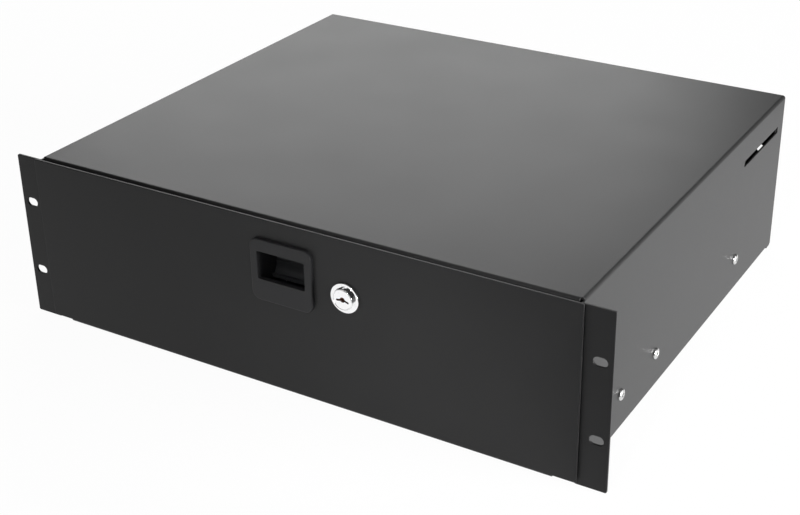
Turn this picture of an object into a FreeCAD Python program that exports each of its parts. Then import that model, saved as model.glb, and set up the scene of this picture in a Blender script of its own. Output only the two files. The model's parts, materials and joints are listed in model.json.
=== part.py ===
"""Three-unit sliding rack drawer: a folded steel case with ears, a tray on telescopic ball
slides, a recessed finger latch and a cam lock.

Millimetres. +X is the case's right, +Y points to its rear, +Z is up. The origin lies on the
ears' front face, in the middle of the four rack slots.
"""
import FreeCAD, Part
import math
import os

from FreeCAD import Vector

# ---------------------------------------------------------------- rack standard
rack_units = 3
unit_pitch = 44.45
unit_gap = 1.3             # the ears stay this much under the full height
rack_width = 482.6         # over both ears
slot_inset = 8.75          # slot centres from the ears' outer edges
slot_rise = 57.15          # between the lower and upper slots
slot_width = 6.8
slot_length = 10.0
ear_corner = 1.2

# ---------------------------------------------------------------- case
ear_width = 22.1           # each ear beyond the case's side
case_depth = 387.5
case_sheet = 1.5
fold_inner = 0.8           # inside radius of every fold in case and tray
case_rise = 1.5            # case top above the ears' upper edge
case_drop = 0.4            # folded lower edges below the ears' lower edge
ear_return = 6.0           # depth of side wall that is cut with the ear
lip_setback = 1.6          # top's front lip behind the ears' front face
lip_drop = 12.0
lip_relief = 3.2           # notch between the lip and each side wall
floor_flange = 14.0
flange_front = 9.0         # lower flanges start this far back
flange_rear = 9.0          # and stop this far from the rear
wall_toe = 3.0             # corner radius of the side walls' plain rear ends
side_slot_length = 79.0
side_slot_width = 5.0
side_slot_corner = 0.8
side_slot_from_rear = 52.0 # slot centre
side_slot_from_top = 24.9  # slot centre
rear_flange = 14.0
rear_hole = 7.0
rear_hole_inset = 16.2     # hole centre from the case's side
rear_hole_height = 85.0    # hole centre above the ears' lower edge
rail_width = 38.0
rail_sheet = 1.0
rail_inset = 2.5
rail_front = 16.0
rail_rear_gap = 22.0

# ---------------------------------------------------------------- drawer
front_overhang = 2.2       # drawer front beyond the case's side
front_sheet = 1.5
front_proud = 3.4          # drawer front ahead of the ears' front face
front_top_drop = 0.0       # drawer front's top edge below the case top
front_foot = 1.0           # its folded foot above the ears' lower edge
foot_depth = 10.0
foot_inset = 17.5          # unfolded end of the foot at each side
foot_step = 2.1            # how much higher the unfolded ends stop
tray_sheet = 1.2
tray_floor = 7.0           # tray's underside above the ears' lower edge
tray_top = 112.0           # tray's upper edge above the ears' lower edge
tray_hem = 8.0
tray_rear_gap = 34.0       # tray's rear wall to the case's rear
tray_front_rise = 57.0
stud_size = 4.0
stud_length = 5.5
stud_height = 40.0
stud_inset = 36.4          # outer studs from the drawer front's side edges
stud_inner = 60.0          # inner studs from the middle
nut_across = 7.0
nut_height = 3.2
bumper_size = 8.0
bumper_clearance = 0.3
bumper_inset = 30.0        # bumper centre from the drawer front's side edge
bumper_drop = 6.8          # bumper centre below the drawer front's top edge

# ---------------------------------------------------------------- telescopic slides
slide_rear_gap = 32.0      # outer member's rear end to the case's rear
slide_hold = 30.0          # slide length that the drawer's travel leaves
slide_front = 5.5          # outer member's front end behind the ears' front face
slide_height = 45.5
slide_middle = 28.3        # slide's centre line above the ears' lower edge
slide_sheet = 1.2
slide_fold = 1.8           # outside radius of the members' folds
slide_thickness = 12.7
outer_reach = 8.6          # outer member's lip from the case wall
lip_return = 3.6
nest_gap = 0.8             # between the webs of the outer and middle members
ball_radius = 1.775
ball_clearance = 0.05
ball_seats = 3             # balls in each row
cage_sheet = 0.5
cage_gap = 0.15
cage_end_play = 14.0       # cage to the end of the overlap with the drawer pulled out
cage_margin = 12.0
member_step = 3.0          # each inner member stops this much shorter at both ends
screw_front = 64.0         # case screws from the outer member's front end
screw_second = 124.5
screw_rear = 62.5          # and from its rear end
tray_screw_front = 18.0    # tray screws from the inner member's front end
tray_screw_rear = 39.0     # and from its rear end
screw_size = 4.0
screw_head = 8.4
screw_head_height = 1.9
tray_screw_head = 7.0
tray_screw_head_height = 2.0
screw_land = 0.4           # straight rim of a head, as a share of its height
fit = 0.05                 # running or seating clearance, on the radius
hole_play = 0.2            # clearance of plain fastener holes, on the radius

# ---------------------------------------------------------------- latch
bezel_width = 50.0
bezel_height = 46.9
bezel_foot = 72.6          # bezel's lower edge above the ears' lower edge
bezel_proud = 3.0
bezel_corner = 6.5
bezel_edge = 0.7
window_width = 39.0
window_height = 21.2
window_corner = 1.2
window_foot = 16.4         # window's lower edge above the bezel's
bezel_wall = 4.0
pocket_wall = 1.6
pocket_depth = 27.4        # drawer front's face to the housing's back
cutout_play = 0.3
hook_depth = 3.0
hook_width = 6.0
hook_centre = 11.0
bolt_width = 14.0
bolt_thick = 3.5
bolt_engage = 6.0          # bolt tip above the keeper's lower edge
bolt_tip = 1.0
paddle_play = 0.5
paddle_travel = 6.5
paddle_plate = 2.0
scoop_reach = 6.0
scoop_lip = 2.2
scoop_rise = 9.0
paddle_rise = 27.0
spring_outer = 3.6
spring_wire = 0.5
spring_turns = 6
spring_column = 13.0
spring_boss = 5.6
spring_cap = 17.0          # spring's upper seat above its lower seat
pin_size = 2.4
pin_inset = 4.0            # upper pin below the paddle's top
pin_pitch = 8.0
bolt_foot = 18.0           # bolt's lower end below the paddle's top
paddle_slack = 0.3         # round the paddle's plate where it slides
scoop_sag = 0.2            # hollow of the scoop, as a share of its height
keeper_sheet = 1.5
keeper_drop = 14.5         # keeper's lower edge below the case's top sheet
keeper_left = 22.0
keeper_right = 70.0
keeper_front = 5.5
latch_gap = 0.3            # bolt and cam behind the keeper's leg
retainer_height = 6.6
retainer_sheet = 1.0
latch_screw_size = 2.5
latch_screw_head = 4.6
latch_screw_head_height = 1.5
latch_screw_depth = 2.1    # thread in the bezel's rim
latch_screw_column = 15.0

# ---------------------------------------------------------------- cam lock
lock_column = 50.1         # lock's axis to the right of the middle
lock_height = 91.3         # lock's axis above the ears' lower edge
lock_flange = 22.7
lock_flange_thick = 1.5
lock_collar = 15.8
lock_collar_thick = 2.5
lock_body = 18.6
lock_flat = 16.0           # body's width over its two flats
lock_body_length = 17.0
plug_size = 12.6
plug_shaft = 9.0
plug_square = 6.0
keyway_length = 9.6
keyway_width = 1.6
keyway_round = 4.0
keyway_depth = 9.0
lock_nut_across = 24.0
lock_nut_thick = 3.5
lock_washer_size = 25.0
lock_washer_thick = 1.0
cam_width = 15.0
cam_thick = 2.0
cam_reach = 32.5
cam_screw_head = 8.0
cam_screw_size = 3.5
cam_screw_length = 6.0

# ---------------------------------------------------------------- derived sizes
ear_height = rack_units * unit_pitch - unit_gap
base = -ear_height / 2                         # the ears' lower edge
case_width = rack_width - 2 * ear_width
slot_span = rack_width - 2 * slot_inset
case_top = base + ear_height + case_rise
case_bottom = base - case_drop
case_side = case_width / 2
case_wall = case_side - case_sheet             # side wall's inner face
case_ceiling = case_top - case_sheet
fold_outer = fold_inner + case_sheet
front_width = case_width + 2 * front_overhang
stud_outer = front_width / 2 - stud_inset
stud_columns = (-stud_outer, -stud_inner, stud_inner, stud_outer)
front_face = -front_proud
front_back = front_face + front_sheet
front_top = case_top - front_top_drop
slide_axis = base + slide_middle
tray_side = case_wall - slide_thickness
tray_rear = case_depth - tray_rear_gap
bezel_face = front_face - bezel_proud
bezel_low = base + bezel_foot
bezel_high = bezel_low + bezel_height
window_low = bezel_low + window_foot
window_high = window_low + window_height
pocket_back = front_face + pocket_depth
keeper_low = case_ceiling - keeper_drop
housing_side = window_width / 2 + pocket_wall
housing_high = window_high + pocket_wall
housing_low = bezel_low + pocket_wall
pocket_low = housing_low + pocket_wall
paddle_low = pocket_low + paddle_travel + paddle_play
paddle_back = pocket_back - pocket_wall - spring_boss + pocket_wall / 2
bolt_front = paddle_back
keeper_back = bolt_front - latch_gap
lock_axis = base + lock_height
lock_back = front_face + lock_body_length
cam_front = keeper_back + latch_gap


def box(x0, x1, y0, y1, z0, z1):
    """Block between two corners."""
    return Part.makeBox(x1 - x0, y1 - y0, z1 - z0, Vector(x0, y0, z0))


def rod(radius, start, direction, length):
    """Cylinder from a start point along a direction."""
    return Part.makeCylinder(radius, length, start, direction)


def corner_path(points, radii):
    """Open wire through the points, with an arc of its own radius at each inner point."""
    edges = []
    here = points[0]
    for before, corner, after, radius in zip(points, points[1:], points[2:], radii):
        back = (before - corner).normalize()
        ahead = (after - corner).normalize()
        half = back.getAngle(ahead) / 2
        reach = radius / math.tan(half)
        middle = (back + ahead).normalize() * (radius / math.sin(half) - radius)
        arc = Part.Arc(corner + back * reach, corner + middle, corner + ahead * reach)
        edges.append(Part.LineSegment(here, corner + back * reach).toShape())
        edges.append(arc.toShape())
        here = corner + ahead * reach
    edges.append(Part.LineSegment(here, points[-1]).toShape())
    return Part.Wire(edges)


def folded(points, radii, sheet, run):
    """Folded sheet: skin path, thickened to its left as seen from the run's far end, extruded."""
    ahead = Vector(run).normalize()
    ways = [(b - a).normalize() for a, b in zip(points, points[1:])]
    lefts = [ahead.cross(way) for way in ways]
    far_points = [points[0] + lefts[0] * sheet]
    far_radii = []
    for index, radius in enumerate(radii):
        before, after = lefts[index], lefts[index + 1]
        far_points.append(points[index + 1] + (before + after) * (sheet / (1 + before.dot(after))))
        turns_left = ways[index].cross(ways[index + 1]).dot(ahead) > 0
        far_radii.append(radius - sheet if turns_left else radius + sheet)
    far_points.append(points[-1] + lefts[-1] * sheet)
    near = corner_path(points, radii)
    far = corner_path(far_points, far_radii)
    ends = [Part.LineSegment(a, b).toShape() for a, b in zip((points[0], points[-1]),
                                                             (far_points[0], far_points[-1]))]
    outer = Part.Wire(Part.__sortEdges__(near.Edges + far.Edges + ends))
    return Part.Face(outer).extrude(run)


def outline(points, run):
    """Prism of a closed outline of straight sides."""
    return Part.Face(Part.makePolygon(points + points[:1])).extrude(run)


def rounded_block(block, along, corner):
    """Block whose four edges along a direction are rounded."""
    edges = [e for e in block.Edges if abs(e.tangentAt(e.FirstParameter).dot(along)) > 0.99]
    return block.makeFillet(corner, edges)


def joined(pieces):
    """One solid from touching or overlapping pieces."""
    return pieces[0].multiFuse(pieces[1:]).removeSplitter()


def mirrored(shape):
    """The same shape on the other side of the case's middle plane."""
    return shape.mirror(Vector(0, 0, 0), Vector(1, 0, 0))


def pan_screw(size, head, head_height, length):
    """Pan head screw along +Z: head above the seat at the origin, shank below it."""
    up = Vector(0, 0, 1)
    origin = Vector(0, 0, 0)
    land = head_height * screw_land
    crown = head / 2 - (head_height - land)
    rim = rod(head / 2, origin, up, land)
    dome = Part.makeCone(head / 2, crown, head_height - land, Vector(0, 0, land), up)
    shank = rod(size / 2, Vector(0, 0, -length), up, length + land)
    return joined([rim, dome, shank])


def placed(shape, seat, direction):
    """Copy of a shape made along +Z, moved to a seat and turned to a direction."""
    turned = shape.copy()
    turn = FreeCAD.Rotation(Vector(0, 0, 1), direction)
    turned.Placement = FreeCAD.Placement(seat, turn).multiply(turned.Placement)
    return turned


def hexagon(across, height, bore):
    """Hexagon nut along +Z, its seat at the origin."""
    radius = across / math.sqrt(3)
    corners = [Vector(radius, 0, 0)]
    for index in range(1, 6):
        angle = index * math.pi / 3
        corners.append(Vector(radius * math.cos(angle), radius * math.sin(angle), 0))
    nut = outline(corners, Vector(0, 0, height))
    return nut.cut(rod(bore, Vector(0, 0, 0), Vector(0, 0, 1), height))


# ---------------------------------------------------------------- case
def rack_slot(x, z):
    """Cutter for one rack slot, rounded at both ends and lying along X."""
    half = slot_width / 2
    reach = (slot_length - slot_width) / 2
    deep = case_sheet * 3
    start = -case_sheet
    bar = box(x - reach, x + reach, start, start + deep, z - half, z + half)
    ends = [rod(half, Vector(x + side * reach, start, z), Vector(0, 1, 0), deep) for side in (-1, 1)]
    return bar.multiFuse(ends)


def side_slot(side):
    """Cutter for the long slot near the rear of one side wall."""
    half = side_slot_width / 2
    middle = case_depth - side_slot_from_rear
    z = case_top - side_slot_from_top
    low, high = sorted((side * (case_wall - case_sheet), side * (case_side + case_sheet)))
    bar = box(low, high, middle - side_slot_length / 2, middle + side_slot_length / 2, z - half, z + half)
    return rounded_block(bar, Vector(1, 0, 0), side_slot_corner)


def ear():
    """Right ear: side wall turned outward into the rack flange."""
    points = [
        Vector(case_wall, ear_return, base),
        Vector(case_wall, 0, base),
        Vector(rack_width / 2, 0, base),
    ]
    strip = folded(points, [fold_outer], case_sheet, Vector(0, 0, ear_height))
    tip = rack_width / 2
    edges = [e for e in strip.Edges if abs(e.BoundBox.XMin - tip) < 1e-4 and e.BoundBox.YLength > 1
             and e.BoundBox.ZLength < 1e-4]
    return strip.makeFillet(ear_corner, edges)


def case_cover():
    """Top, sides, lower flanges, front lip and both ears, folded from one sheet."""
    lip_fold_end = lip_setback + fold_outer
    skin = [
        Vector(-case_side + floor_flange, lip_fold_end, case_bottom),
        Vector(-case_side, lip_fold_end, case_bottom),
        Vector(-case_side, lip_fold_end, case_top),
        Vector(case_side, lip_fold_end, case_top),
        Vector(case_side, lip_fold_end, case_bottom),
        Vector(case_side - floor_flange, lip_fold_end, case_bottom),
    ]
    shell = folded(skin, [fold_outer] * 4, case_sheet, Vector(0, case_depth - lip_fold_end, 0))
    lip_side = case_side - lip_relief
    lip = [
        Vector(-lip_side, lip_fold_end + fold_outer, case_top),
        Vector(-lip_side, lip_setback, case_top),
        Vector(-lip_side, lip_setback, case_top - lip_drop),
    ]
    front_lip = folded(lip, [fold_outer], case_sheet, Vector(2 * lip_side, 0, 0))
    right_ear = ear()
    cover = joined([shell, front_lip, right_ear, mirrored(right_ear)])
    cuts = []
    for x in (-slot_span / 2, slot_span / 2):
        for z in (-slot_rise / 2, slot_rise / 2):
            cuts.append(rack_slot(x, z))
    plain = ((lip_fold_end, flange_front), (case_depth - flange_rear, case_depth))
    for side in (-1, 1):
        cuts.append(side_slot(side))
        low, high = sorted((side * (case_wall - floor_flange), side * (case_side + 1)))
        for front, rear in plain:
            cuts.append(box(low, high, front, rear, case_bottom - 1, case_bottom + fold_outer))
        for station in screw_stations:
            seat = Vector(side * (case_wall - case_sheet), slide_front + station, slide_axis)
            hole = screw_size / 2 + hole_play
            cuts.append(rod(hole, seat, Vector(side, 0, 0), case_sheet * 3))
    walls = [wall_end(side, front, rear) for side in (-1, 1) for front, rear in plain]
    return joined([cover.cut(cuts)] + walls)


def wall_end(side, front, rear):
    """Plain lower edge of a side wall, beside its folded flange; rounded at the case's rear."""
    low, high = sorted((side * case_wall, side * case_side))
    wall = box(low, high, front, rear, case_bottom, case_bottom + fold_outer + case_sheet)
    corner = [e for e in wall.Edges if e.BoundBox.YMin > case_depth - 1e-4
              and e.BoundBox.ZMax < case_bottom + 1e-4]
    return wall.makeFillet(wall_toe, corner) if corner else wall


def rear_panel():
    """Rear wall with flanges against the side walls and two plain holes."""
    low = case_bottom + case_sheet + fold_inner
    high = case_ceiling - fold_inner
    points = [
        Vector(case_wall, case_depth - rear_flange, low),
        Vector(case_wall, case_depth, low),
        Vector(-case_wall, case_depth, low),
        Vector(-case_wall, case_depth - rear_flange, low),
    ]
    panel = folded(points, [fold_outer] * 2, case_sheet, Vector(0, 0, high - low))
    holes = []
    for side in (-1, 1):
        start = Vector(side * (case_side - rear_hole_inset), case_depth + 1, base + rear_hole_height)
        holes.append(rod(rear_hole / 2, start, Vector(0, -1, 0), case_sheet * 3))
    return panel.cut(holes)


def bottom_rail(front):
    """Cross strip welded on the lower flanges, under the tray."""
    half = case_side - rail_inset
    seat = case_bottom + case_sheet
    return box(-half, half, front, front + rail_width, seat, seat + rail_sheet)


def latch_keeper():
    """Angle under the top sheet that the bolt and the cam catch behind."""
    points = [
        Vector(-keeper_left, keeper_back, keeper_low),
        Vector(-keeper_left, keeper_back, case_ceiling),
        Vector(-keeper_left, keeper_front, case_ceiling),
    ]
    run = Vector(keeper_left + keeper_right, 0, 0)
    return folded(points, [fold_outer], keeper_sheet, run)


# ---------------------------------------------------------------- telescopic slides
def member(points, radii, front, length, sheet=slide_sheet):
    """Right slide member from its section: distance from the case wall, height from the axis."""
    skin = [Vector(case_wall - u, front, slide_axis + w) for u, w in points]
    return folded(skin, radii, sheet, Vector(0, length, 0))


outer_race = slide_height / 2 - slide_sheet
mid_skin = outer_race - 2 * (ball_radius + ball_clearance)
mid_race = mid_skin - slide_sheet
inner_skin = mid_race - 2 * (ball_radius + ball_clearance)
mid_web = slide_sheet + nest_gap
mid_reach = mid_web + outer_reach
outer_row_height = outer_race - ball_radius - ball_clearance
inner_row_height = mid_race - ball_radius - ball_clearance
outer_row_reach = outer_reach - slide_sheet - ball_radius - ball_clearance
inner_row_reach = mid_reach - slide_sheet - ball_radius - ball_clearance
slide_length = case_depth - slide_front - slide_rear_gap
drawer_travel = slide_length - slide_hold
screw_stations = (screw_front, screw_second, slide_length - screw_rear)
mid_front = slide_front + member_step
mid_length = slide_length - 2 * member_step
inner_front = slide_front - member_step / 2
inner_length = slide_length - 2 * member_step
tray_screw_last = inner_length - tray_screw_rear
tray_screw_stations = (tray_screw_front, (tray_screw_front + tray_screw_last) / 2, tray_screw_last)
lip_fold = ball_radius + ball_clearance + slide_sheet  # race: the lip's fold follows the balls
cage_length = mid_length - drawer_travel / 2 - cage_end_play
cage_front = slide_front + (slide_length - cage_length) / 2
inner_cage_web = mid_web + slide_sheet + cage_gap * 2
inner_lip = inner_cage_web + cage_sheet + cage_gap * 2


def slide_outer():
    """Outer member against the case wall, tapped for its screws."""
    half = slide_height / 2
    edge = half - lip_return
    points = [(outer_reach, edge), (outer_reach, half), (0, half),
              (0, -half), (outer_reach, -half), (outer_reach, -edge)]
    body = member(points, [lip_fold, slide_fold, slide_fold, lip_fold], slide_front, slide_length)
    bore = screw_size / 2 + fit
    start = case_wall - slide_sheet * 2
    holes = [rod(bore, Vector(start, slide_front + at, slide_axis), Vector(1, 0, 0), slide_sheet * 3)
             for at in screw_stations]
    return body.cut(holes)


def slide_middle_member():
    """Middle member, nested in the outer one between the two pairs of ball rows."""
    edge = mid_skin - lip_return
    points = [(mid_reach, edge), (mid_reach, mid_skin), (mid_web, mid_skin),
              (mid_web, -mid_skin), (mid_reach, -mid_skin), (mid_reach, -edge)]
    return member(points, [lip_fold, slide_fold, slide_fold, lip_fold], mid_front, mid_length)


def slide_inner():
    """Inner member on the tray's side, with lips turned outward to hold the balls."""
    lip = inner_lip + slide_sheet
    edge = inner_skin + slide_sheet
    tight = slide_fold - slide_sheet
    points = [(lip, -edge), (lip, -inner_skin), (slide_thickness, -inner_skin),
              (slide_thickness, inner_skin), (lip, inner_skin), (lip, edge)]
    body = member(points, [tight, slide_fold, slide_fold, tight], inner_front, inner_length)
    bore = screw_size / 2 + fit
    start = tray_side - slide_sheet
    holes = [rod(bore, Vector(start, inner_front + at, slide_axis), Vector(1, 0, 0), slide_sheet * 4)
             for at in tray_screw_stations]
    return body.cut(holes)


def ball_places(reach, height):
    """Centres of the balls in the upper and lower row of one cage."""
    pitch = (cage_length - 2 * cage_margin) / (ball_seats - 1)
    places = []
    for index in range(ball_seats):
        y = cage_front + cage_margin + index * pitch
        for side in (-1, 1):
            places.append(Vector(case_wall - reach, y, slide_axis + side * height))
    return places


def ball_cage(web, reach, height):
    """Thin channel that spaces the balls of one pair of rows, in seats open at its edges."""
    edge = height + cage_sheet / 2
    tip = reach + ball_radius / 2
    points = [(tip, edge), (web, edge), (web, -edge), (tip, -edge)]
    cage = member(points, [cage_sheet * 2] * 2, cage_front, cage_length, cage_sheet)
    seats = []
    for place in ball_places(reach, height):
        start = place - Vector(0, 0, cage_sheet * 2)
        seats.append(rod(ball_radius + fit, start, Vector(0, 0, 1), cage_sheet * 4))
    return cage.cut(seats)


def balls(reach, height):
    """Steel balls of one cage."""
    return Part.makeCompound([Part.makeSphere(ball_radius, p) for p in ball_places(reach, height)])


def slide_bumper():
    """Rubber stop in the rear end of the outer member."""
    rear = slide_front + slide_length
    front = mid_front + mid_length + bumper_clearance
    half = slide_height / 4
    x0 = case_wall - outer_reach
    x1 = case_wall - slide_sheet
    return box(x0, x1, front, rear, slide_axis - half, slide_axis + half)


def slide_screws():
    """Pan head screws through the side walls into the outer members."""
    screw = pan_screw(screw_size, screw_head, screw_head_height, case_sheet + slide_sheet)
    group = []
    for side in (-1, 1):
        for station in screw_stations:
            seat = Vector(side * case_side, slide_front + station, slide_axis)
            group.append(placed(screw, seat, Vector(side, 0, 0)))
    return Part.makeCompound(group)


def tray_screws():
    """Screws from inside the tray into the inner members."""
    length = tray_sheet + slide_sheet
    screw = pan_screw(screw_size, tray_screw_head, tray_screw_head_height, length)
    group = []
    for side in (-1, 1):
        for station in tray_screw_stations:
            seat = Vector(side * (tray_side - tray_sheet), inner_front + station, slide_axis)
            group.append(placed(screw, seat, Vector(-side, 0, 0)))
    return Part.makeCompound(group)


# ---------------------------------------------------------------- drawer
def drawer_tray():
    """Tray folded from one sheet: floor, hemmed sides, rear wall and low front wall."""
    low = base + tray_floor
    high = base + tray_top
    fold = fold_inner + tray_sheet
    inner = tray_side - tray_sheet
    hem = tray_side - tray_hem
    skin = [
        Vector(hem, front_back, high),
        Vector(tray_side, front_back, high),
        Vector(tray_side, front_back, low),
        Vector(-tray_side, front_back, low),
        Vector(-tray_side, front_back, high),
        Vector(-hem, front_back, high),
    ]
    shell = folded(skin, [fold] * 4, tray_sheet, Vector(0, tray_rear - front_back, 0))
    rear = box(-inner, inner, tray_rear - tray_sheet, tray_rear, low + tray_sheet, high - tray_sheet)
    wall_top = low + tray_front_rise
    front = box(-inner, inner, front_back, front_back + tray_sheet, low + tray_sheet, wall_top)
    tray = joined([shell, rear, front])
    holes = []
    for side in (-1, 1):
        for station in tray_screw_stations:
            start = Vector(side * (inner - tray_sheet), inner_front + station, slide_axis)
            holes.append(rod(screw_size / 2 + fit, start, Vector(side, 0, 0), tray_sheet * 3))
    for column in stud_columns:
        start = Vector(column, front_back - 1, base + stud_height)
        holes.append(rod(stud_size / 2 + hole_play, start, Vector(0, 1, 0), tray_sheet + 2))
    return tray.cut(holes)


def drawer_front():
    """Drawer front: flat plate with a folded foot, weld studs, and cut-outs for latch and lock."""
    half = front_width / 2
    foot = half - foot_inset
    low = base + front_foot
    fold = fold_inner + front_sheet
    points = [
        Vector(-foot, front_face, front_top),
        Vector(-foot, front_face, low),
        Vector(-foot, front_face + foot_depth, low),
    ]
    plate = folded(points, [fold], front_sheet, Vector(2 * foot, 0, 0))
    ends = [plate]
    for side in (-1, 1):
        x0, x1 = sorted((side * (foot - 1), side * half))
        ends.append(box(x0, x1, front_face, front_back, low + foot_step + fold, front_top))
        x0, x1 = sorted((side * foot, side * half))
        ends.append(box(x0, x1, front_face, front_back, low + foot_step, low + foot_step + fold))
    for column in stud_columns:
        start = Vector(column, front_back, base + stud_height)
        ends.append(rod(stud_size / 2, start, Vector(0, 1, 0), stud_length))
    panel = joined(ends)
    side = housing_side + cutout_play
    cuts = [box(-side, side, front_face - 1, front_back + 1,
                housing_low - cutout_play, housing_high + cutout_play)]
    body = lock_shell(lock_body / 2 + cutout_play, lock_flat / 2 + cutout_play, front_face - 1,
                      front_sheet + 2)
    cuts.append(body)
    for side in (-1, 1):
        start = Vector(side * latch_screw_column, front_face - 1, latch_screw_height())
        cuts.append(rod(latch_screw_size / 2 + hole_play, start, Vector(0, 1, 0), front_sheet + 2))
    return panel.cut(cuts)


def front_nuts():
    """Nuts on the drawer front's weld studs, inside the tray."""
    nut = hexagon(nut_across, nut_height, stud_size / 2 + fit)
    group = []
    for column in stud_columns:
        seat = Vector(column, front_back + tray_sheet, base + stud_height)
        group.append(placed(nut, seat, Vector(0, 1, 0)))
    return Part.makeCompound(group)


def front_bumpers():
    """Rubber buttons on the drawer front's back that meet the case's front lip."""
    length = lip_setback - front_back - bumper_clearance
    group = []
    for side in (-1, 1):
        seat = Vector(side * (front_width / 2 - bumper_inset), front_back, front_top - bumper_drop)
        group.append(rod(bumper_size / 2, seat, Vector(0, 1, 0), length))
    return Part.makeCompound(group)


# ---------------------------------------------------------------- latch
def latch_screw_height():
    """Height of the screws that clamp the retainer, midway in the bezel's upper rim."""
    return (housing_high + cutout_play + bezel_high) / 2


def latch_housing():
    """Moulded finger pocket with a raised bezel, open above its rear for the bolt."""
    half = bezel_width / 2
    plate = box(-half, half, bezel_face, front_face, bezel_low, bezel_high)
    bezel = rounded_block(plate, Vector(0, 1, 0), bezel_corner)
    rim = [e for e in bezel.Edges if e.BoundBox.YMax < bezel_face + 1e-4]
    bezel = bezel.makeFillet(bezel_edge, rim)
    body = box(-housing_side, housing_side, front_face, pocket_back, housing_low, housing_high)
    parts = [bezel, body]
    for side in (-1, 1):
        x = side * hook_centre
        profile = [
            Vector(x - hook_width / 2, front_back + fit, housing_low),
            Vector(x - hook_width / 2, front_back + fit, bezel_low + fit),
            Vector(x - hook_width / 2, front_back + fit + hook_depth, housing_low),
        ]
        parts.append(outline(profile, Vector(hook_width, 0, 0)))
    housing = joined(parts)
    inside = window_width / 2
    opening = box(-inside, inside, bezel_face - 1, bezel_face + bezel_wall, window_low, window_high)
    window = rounded_block(opening, Vector(0, 1, 0), window_corner)
    room = box(-inside, inside, bezel_face + bezel_wall, pocket_back - pocket_wall,
               pocket_low, window_high)
    chimney_front = paddle_back - paddle_plate - paddle_slack
    chimney = box(-inside, inside, chimney_front, pocket_back - pocket_wall,
                  window_high - 1, housing_high + 1)
    cuts = [window, room, chimney]
    for side in (-1, 1):
        start = Vector(side * latch_screw_column, front_face, latch_screw_height())
        cuts.append(rod(latch_screw_size / 2, start, Vector(0, -1, 0), latch_screw_depth))
    return housing.cut(cuts)


def latch_retainer():
    """Steel strip that clamps the housing's upper rim from behind the drawer front."""
    half = housing_side
    z = latch_screw_height()
    low = z - retainer_height / 2
    strip = box(-half, half, front_back, front_back + retainer_sheet, low, low + retainer_height)
    holes = []
    for side in (-1, 1):
        start = Vector(side * latch_screw_column, front_back - 1, z)
        holes.append(rod(latch_screw_size / 2 + hole_play, start, Vector(0, 1, 0), retainer_sheet + 2))
    return strip.cut(holes)


def latch_screws():
    """Two screws through the retainer into the bezel."""
    length = retainer_sheet + front_sheet + latch_screw_depth
    screw = pan_screw(latch_screw_size - 2 * fit, latch_screw_head, latch_screw_head_height, length)
    group = []
    for side in (-1, 1):
        seat = Vector(side * latch_screw_column, front_back + retainer_sheet, latch_screw_height())
        group.append(placed(screw, seat, Vector(0, 1, 0)))
    return Part.makeCompound(group)


def latch_paddle():
    """Finger paddle: a scoop with a lip to press down, on a plate with two spring bosses."""
    half = window_width / 2 - paddle_play
    plate = paddle_back - paddle_plate
    tip = plate - scoop_reach
    lip_top = paddle_low + scoop_lip
    crest = lip_top + scoop_rise
    sag = (crest - lip_top) * scoop_sag
    curve = Part.Arc(
        Vector(-half, tip + scoop_lip, lip_top),
        Vector(-half, plate - sag, (lip_top + crest) / 2 - sag),
        Vector(-half, plate - paddle_plate / 2, crest),
    )
    corners = [
        Vector(-half, plate - paddle_plate / 2, crest),
        Vector(-half, plate, crest + paddle_plate / 2),
        Vector(-half, plate, paddle_low + paddle_rise),
        Vector(-half, paddle_back, paddle_low + paddle_rise),
        Vector(-half, paddle_back, paddle_low),
        Vector(-half, tip, paddle_low),
        Vector(-half, tip, lip_top + scoop_lip / 3),
        Vector(-half, tip + scoop_lip / 2, lip_top + scoop_lip / 3),
        Vector(-half, tip + scoop_lip, lip_top),
    ]
    edges = [curve.toShape()]
    edges += [Part.LineSegment(a, b).toShape() for a, b in zip(corners, corners[1:])]
    paddle = Part.Face(Part.Wire(edges)).extrude(Vector(2 * half, 0, 0))
    parts = [paddle]
    cuts = []
    rise = spring_cap - paddle_low + pocket_low + pocket_wall
    middle = paddle_back + spring_boss / 2 - pocket_wall / 2
    deep = spring_boss - pocket_wall
    for side in (-1, 1):
        x = side * spring_column
        parts.append(box(x - spring_boss / 2, x + spring_boss / 2, paddle_back, paddle_back + deep,
                         paddle_low, paddle_low + rise))
        start = Vector(x, middle, paddle_low - 1)
        bore = spring_outer / 2 + hole_play
        cuts.append(rod(bore, start, Vector(0, 0, 1), 1 + rise - pocket_wall))
    for height in pin_heights():
        start = Vector(0, plate - 1, height)
        cuts.append(rod(pin_size / 2 + fit, start, Vector(0, 1, 0), paddle_plate + 2))
    return joined(parts).cut(cuts)


def pin_heights():
    """Heights of the two pins that join bolt and paddle."""
    top = paddle_low + paddle_rise
    return [top - pin_inset, top - pin_inset - pin_pitch]


def latch_bolt():
    """Flat bolt on the paddle's back, with a sloped tip that rides under the keeper."""
    half = bolt_width / 2
    high = keeper_low + bolt_engage
    low = paddle_low + paddle_rise - bolt_foot
    back = bolt_front + bolt_thick
    profile = [
        Vector(-half, bolt_front, low),
        Vector(-half, bolt_front, high),
        Vector(-half, bolt_front + bolt_tip, high),
        Vector(-half, back, high - bolt_engage),
        Vector(-half, back, low),
    ]
    bolt = outline(profile, Vector(2 * half, 0, 0))
    cuts = []
    for height in pin_heights():
        start = Vector(0, bolt_front - 1, height)
        cuts.append(rod(pin_size / 2 + fit, start, Vector(0, 1, 0), bolt_thick + 2))
    return bolt.cut(cuts)


def bolt_pins():
    """Pins through bolt and paddle."""
    length = paddle_plate + bolt_thick
    front = bolt_front - paddle_plate
    group = [rod(pin_size / 2, Vector(0, front, z), Vector(0, 1, 0), length) for z in pin_heights()]
    return Part.makeCompound(group)


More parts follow.
